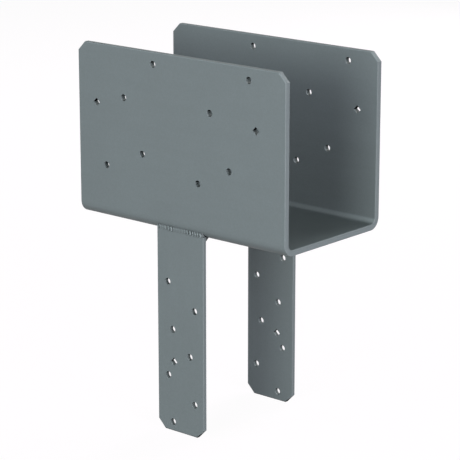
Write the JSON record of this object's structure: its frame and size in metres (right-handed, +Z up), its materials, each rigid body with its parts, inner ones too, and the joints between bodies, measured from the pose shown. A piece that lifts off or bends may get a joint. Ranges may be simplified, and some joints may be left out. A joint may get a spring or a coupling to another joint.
{
  "type": "column cap",
  "caption": "Welded steel cap that ties a timber beam to a post: a U-shaped saddle for the beam above two straps for the post, with round and diamond screw holes.",
  "frame": {"origin": "centre of the seat's underside, where the top of the post meets the cap", "axes": "+X along the beam, +Y across the beam towards the back flange, +Z up"},
  "size_m": [0.2794, 0.1524, 0.4],
  "materials": {
    "painted_plate": "satin grey paint on steel plate",
    "painted_strap": "satin grey paint on flat steel",
    "painted_weld": "satin grey paint over rippled weld metal"
  },
  "bodies": {
    "root": {"beam_saddle": "painted_plate", "front_strap": "painted_strap", "back_strap": "painted_strap", "front_outer_weld": "painted_weld", "front_inner_weld": "painted_weld", "back_outer_weld": "painted_weld", "back_inner_weld": "painted_weld"}
  },
  "joints": []
}
